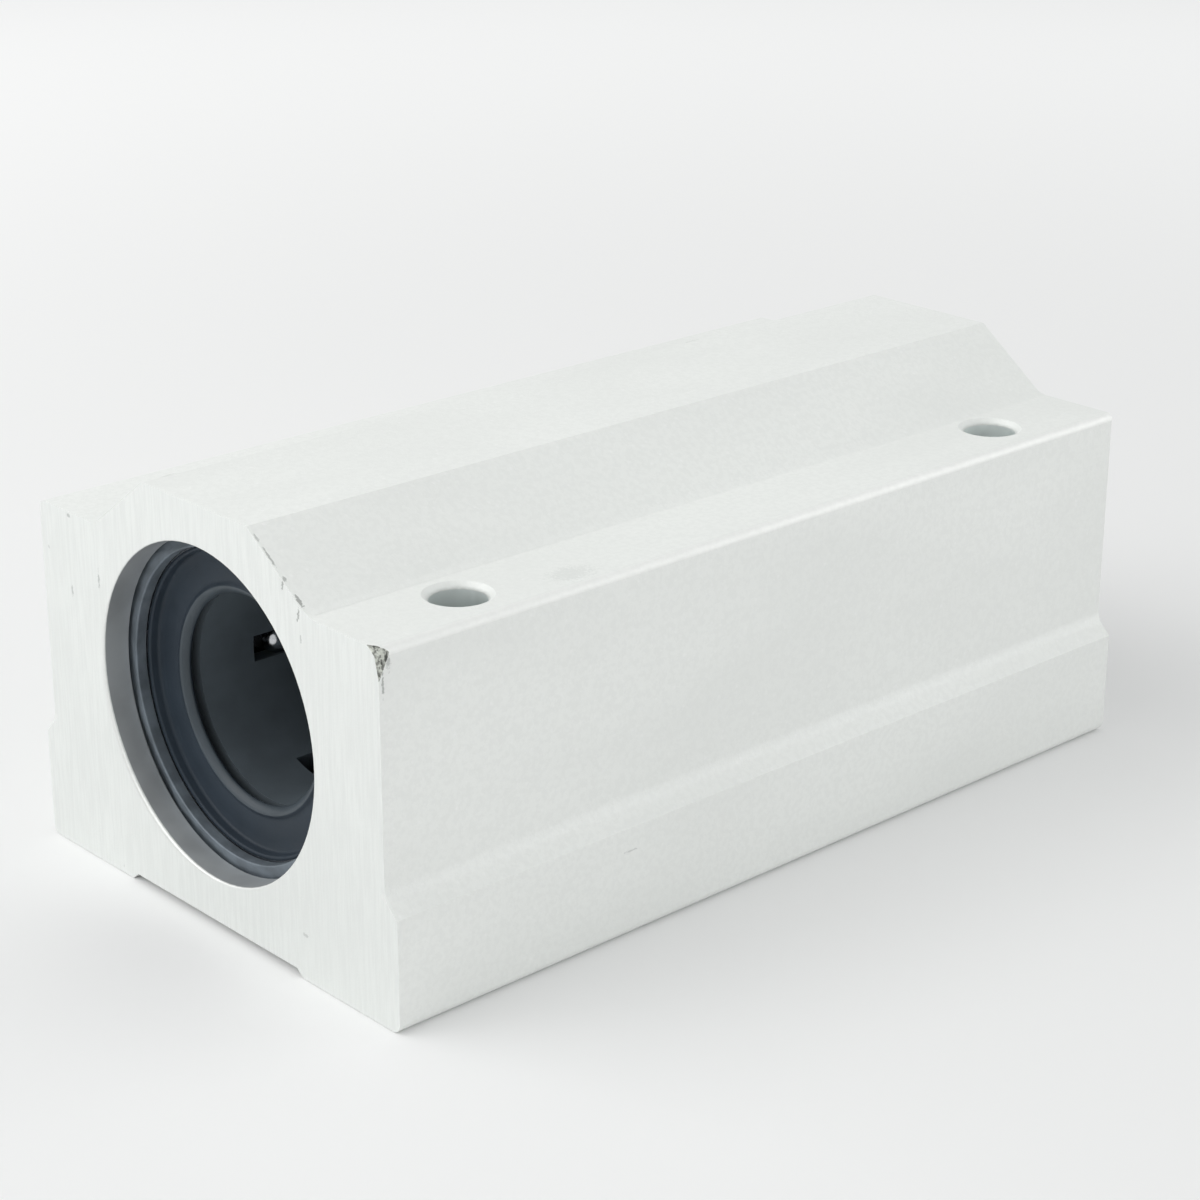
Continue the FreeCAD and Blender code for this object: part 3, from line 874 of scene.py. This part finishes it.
@dataclass
class Seal:
    """A rubber seal: an upright rim, a flat dished face and a beaded lip round the shaft.

    Attributes:
        name: the seal's name.
        face_y: where its seat's face lies along the bore, in metres.
        outward: 1 if it faces +Y, or -1.
        axis_z: the height of the bore's axis, in metres.
        lip_reach: radius within which the lip takes the lighter lip finish, a painted highlight, in
            millimetres.
        lip_depth: how far in that lighter finish reaches, into the lip's shaded throat, in
            millimetres.
        profile: its outline, each point a radius and a depth from that face, in millimetres.
        steps: faces around the shaft.
    """

    name: str
    face_y: float
    outward: int
    axis_z: float
    lip_reach: float = 10.78
    lip_depth: float = 0.62
    profile: tuple[tuple[float, float], ...] = field(
        default=(
            # the rim, which stands up inside the circlip
            (14.56, 1.80), (14.57, -0.68), (14.63, -0.81), (14.74, -0.89), (14.70, -0.93),
            (14.50, -0.95), (14.36, -0.90), (14.31, -0.75), (14.29, -0.25), (14.23, -0.04),
            # the dished face
            (14.02, 0.06), (13.20, 0.10), (12.20, 0.11), (11.50, 0.10), (11.24, 0.13),
            # the bead and the lip that rubs on the shaft
            (11.06, 0.08), (10.92, -0.03), (10.76, -0.11), (10.60, -0.10), (10.44, 0.00),
            (10.22, 0.20), (10.05, 0.44), (10.01, 0.58), (10.08, 0.74),
            # its inner side
            (10.60, 1.10), (11.40, 1.40), (11.90, 1.80),
        )
    )
    steps: int = 144

    def build(self) -> bpy.types.Object:
        """Returns the finished seal."""
        mesh = bmesh.new()
        points = [mesh.verts.new((radius * MM, depth * MM, 0.0)) for radius, depth in self.profile]
        for first, second in zip(points, points[1:] + points[:1]):
            mesh.edges.new((first, second))
        bmesh.ops.spin(
            mesh,
            geom=[*mesh.verts, *mesh.edges],
            cent=(0.0, 0.0, 0.0),
            axis=(0.0, 1.0, 0.0),
            angle=math.tau,
            steps=self.steps,
            use_merge=True,
        )
        turn = Matrix.Diagonal((1.0, -self.outward, 1.0, 1.0))
        bmesh.ops.transform(mesh, matrix=turn, verts=mesh.verts)
        bmesh.ops.translate(mesh, vec=(0.0, self.face_y, self.axis_z), verts=mesh.verts)
        bmesh.ops.remove_doubles(mesh, verts=mesh.verts, dist=1e-7)
        bmesh.ops.recalc_face_normals(mesh, faces=mesh.faces)
        for face in mesh.faces:
            middle = face.calc_center_median()
            depth = self.outward * (self.face_y - middle.y)
            lightened_lip = math.hypot(middle.x, middle.z - self.axis_z) < self.lip_reach * MM
            face.material_index = int(lightened_lip and depth < self.lip_depth * MM)
        finishes = [RUBBER, LIP_HIGHLIGHT]
        return finish_piece(mesh, self.name, finishes, ["shaft_seals"], weigh=False)


@dataclass
class BallLoop:
    """One loop of round steel balls."""

    node: str
    name: str
    diameter: float = 3.175
    fineness: int = 2

    def build(self) -> bpy.types.Object:
        """Returns the loop, one round ball about the middle of each of the node's solids."""
        mesh = bmesh.new()
        for middle in self._middles():
            bmesh.ops.create_icosphere(
                mesh,
                subdivisions=self.fineness,
                radius=self.diameter / 2 * MM,
                matrix=Matrix.Translation(middle),
            )
        return finish_piece(mesh, self.name, [BALLS], [self.node], weigh=False)

    def _middles(self) -> list[Vector]:
        """Returns the middle of each separate solid of the CAD node."""
        mesh = merged_copy(self.node)
        middles, done = [], set()
        for first in mesh.verts:
            if first in done:
                continue
            done.add(first)
            group = [first]
            for vert in group:
                near = [edge.other_vert(vert) for edge in vert.link_edges]
                fresh = [other for other in near if other not in done]
                done.update(fresh)
                group += fresh
            middles.append(sum((vert.co for vert in group), Vector()) / len(group))
        mesh.free()
        return sorted(middles, key=lambda middle: (round(middle.y, 5), middle.x))


@dataclass
class Bushing:
    """A ball bushing: ground sleeve, moulded cage, five loops of balls and two seals."""

    end: str
    seal_recess: float = 0.9
    loops: int = 5
    sleeve_round: float = 0.18
    cage_round: float = 0.22

    def build(self) -> list[bpy.types.Object]:
        """Returns the bushing's finished pieces."""
        sleeve, cage = f"{self.end}_outer_sleeve", f"{self.end}_ball_cage"
        low, high = box_of(sleeve)
        axis = bore_height()
        parts = (
            EasedCopy(sleeve, f"{self.end}_sleeve", SLEEVE, "bearing_steel", self.sleeve_round),
            EasedCopy(cage, f"{self.end}_cage", CAGE_LIGHTENED, "cage_plastic", self.cage_round),
        )
        made = [part.build() for part in parts]
        for number in range(1, self.loops + 1):
            node = f"{self.end}_ball_circuit_{number}"
            made.append(BallLoop(node, f"{self.end}_ball_loop_{number}").build())
        recess = self.seal_recess * MM
        made.append(Seal(f"{self.end}_bushing_front_seal", low.y + recess, -1, axis).build())
        made.append(Seal(f"{self.end}_bushing_rear_seal", high.y - recess, 1, axis).build())
        return made


# ---------------------------------------------------------------------------------------------
# studio
# ---------------------------------------------------------------------------------------------


@dataclass(frozen=True)
class Lamp:
    """A square soft lamp that faces the block."""

    name: str
    place: Place
    size: float
    power: float
    colour: Colour = (1.0, 1.0, 1.0)

    def build(self, aim: Vector) -> None:
        """Places the lamp, turned to aim."""
        data = bpy.data.lights.new(self.name, "AREA")
        data.shape = "SQUARE"
        data.size = self.size
        data.energy = self.power
        data.color = self.colour
        lamp = bpy.data.objects.new(self.name, data)
        lamp.location = self.place
        lamp.rotation_euler = (aim - Vector(self.place)).to_track_quat("-Z", "Y").to_euler()
        bpy.context.scene.collection.objects.link(lamp)


@dataclass(frozen=True)
class Viewpoint:
    """The camera's place, from the way it looks: degrees, and metres from the aim."""

    azimuth: float = 47.32
    elevation: float = 21.06
    roll: float = 0.153
    distance: float = 0.281718
    aim: Place = (-0.00090, 0.00073, 0.01920)
    lens: float = 84.077
    sensor: float = 36.0
    nearest: float = 0.01

    def build(self) -> None:
        """Makes the scene's camera."""
        turn, lift, roll = (math.radians(a) for a in (self.azimuth, self.elevation, self.roll))
        level = math.cos(lift)
        back = Vector((math.sin(turn) * level, -math.cos(turn) * level, math.sin(lift)))
        right = back.cross(Vector((0.0, 0.0, -1.0))).normalized()
        up = back.cross(right)
        across = right * math.cos(roll) + up * math.sin(roll)
        upward = up * math.cos(roll) - right * math.sin(roll)
        data = bpy.data.cameras.new("camera")
        data.sensor_width = self.sensor
        data.lens = self.lens
        data.clip_start = self.nearest
        camera = bpy.data.objects.new("camera", data)
        camera.matrix_world = Matrix.Translation(Vector(self.aim) + back * self.distance) @ Matrix(
            (
                (across.x, upward.x, back.x, 0.0),
                (across.y, upward.y, back.y, 0.0),
                (across.z, upward.z, back.z, 0.0),
                (0.0, 0.0, 0.0, 1.0),
            )
        )
        bpy.context.scene.collection.objects.link(camera)
        bpy.context.scene.camera = camera


@dataclass
class Studio:
    """A pale paper floor, a pale surround and soft lamps.

    Attributes:
        floor_size: side of the floor, in metres.
        floor_drop: how far the floor lies below the base, in metres.
        floor_colour: the paper's colour.
        far_glow: how much lighter the far floor is where it is seen.
        far_from_to: distances between which that grows, in metres.
        surround: the surround's colour.
        seen: its level where it is seen, also in reflections.
        ambient: its level as light.
        aim: the point that the lamps face.
        lamps: the lamps.
    """

    floor_size: float = 6.0
    floor_drop: float = 0.00005
    floor_colour: Colour = (0.93, 0.93, 0.93)
    far_glow: float = 0.20
    far_from_to: tuple[float, float] = (0.12, 0.50)
    surround: Colour = (0.985, 1.0, 1.0)
    seen: float = 0.82
    ambient: float = 0.54
    aim: Place = (0.0, 0.0, 0.02)
    lamps: tuple[Lamp, ...] = (
        Lamp("overhead softbox", (-0.14, -0.02, 0.50), 0.45, 0.36, (1.0, 1.0, 0.97)),
        Lamp("left softbox", (-0.38, -0.42, 0.46), 0.65, 1.72),
        Lamp("front softbox", (-0.12, -0.50, 0.40), 0.50, 0.50),
        Lamp("rear softbox", (0.35, 0.55, 0.20), 0.45, 0.70),
        Lamp("side softbox", (0.60, -0.05, 0.12), 0.50, 0.40),
    )

    def build(self) -> None:
        """Builds floor, surround, lamps and camera."""
        self._floor()
        self._surround()
        for lamp in self.lamps:
            lamp.build(Vector(self.aim))
        Viewpoint().build()
        bpy.context.scene.view_settings.view_transform = "Standard"

    def _floor(self) -> None:
        """Lays the paper floor just under the block."""
        mesh = bmesh.new()
        bmesh.ops.create_grid(mesh, x_segments=1, y_segments=1, size=self.floor_size / 2)
        data = bpy.data.meshes.new("floor")
        mesh.to_mesh(data)
        mesh.free()
        floor = bpy.data.objects.new("floor", data)
        floor.location.z = -self.floor_drop
        bpy.context.scene.collection.objects.link(floor)
        material = bpy.data.materials.new("floor paper")
        material.use_nodes = True
        material.node_tree.nodes.clear()
        graph = Graph(material.node_tree)
        paper = graph.add("BsdfDiffuse", {"Color": self.floor_colour})
        seen = self._seen(graph)
        away = graph.vector("LENGTH", graph.add("TexCoord").outputs["Object"])
        far = graph.band(away, *self.far_from_to)
        level = graph.share(graph.share(seen, far), self.far_glow)
        glow = graph.add("Emission", {"Color": (1.0, 1.0, 1.0), "Strength": level})
        both = graph.add("AddShader", {0: paper.outputs[0], 1: glow.outputs[0]})
        graph.add("OutputMaterial", {"Surface": both.outputs[0]})
        data.materials.append(material)

    def _seen(self, graph: Graph) -> bpy.types.NodeSocket:
        """Returns 1 on rays that show the surroundings, straight or in metal or glass, else 0."""
        path = graph.add("LightPath").outputs
        seen = graph.maths("MAXIMUM", path["Is Camera Ray"], path["Is Glossy Ray"])
        return graph.maths("MAXIMUM", seen, path["Is Transmission Ray"])

    def _surround(self) -> None:
        """Sets the pale surround: as bright in reflections as where it is seen, dimmer as light."""
        world = bpy.data.worlds.new("surround")
        bpy.context.scene.world = world
        world.use_nodes = True
        world.node_tree.nodes.clear()
        graph = Graph(world.node_tree)
        seen = self._seen(graph)
        levels = {0: seen, 2: self.ambient, 3: self.seen}
        level = graph.add("Mix", levels, data_type="FLOAT").outputs[0]
        back = graph.add("Background", {"Color": self.surround, "Strength": level})
        graph.add("OutputWorld", {"Surface": back.outputs[0]})


# ---------------------------------------------------------------------------------------------
# assembly
# ---------------------------------------------------------------------------------------------


def main() -> None:
    """Builds every piece in the order of assembly, then the studio."""
    logging.basicConfig(level=logging.INFO, format="%(name)s: %(message)s")
    pieces = [Housing().build()]
    for end in ("front", "rear"):
        pieces += Bushing(end).build()
    pieces.append(EasedCopy("spacer_ring", "spacer", SPACER, "turned_aluminium", 0.15).build())
    pieces.append(Circlips().build())
    Studio().build()
    log.info("%d pieces", len(pieces))


if __name__ == "__main__":
    main()
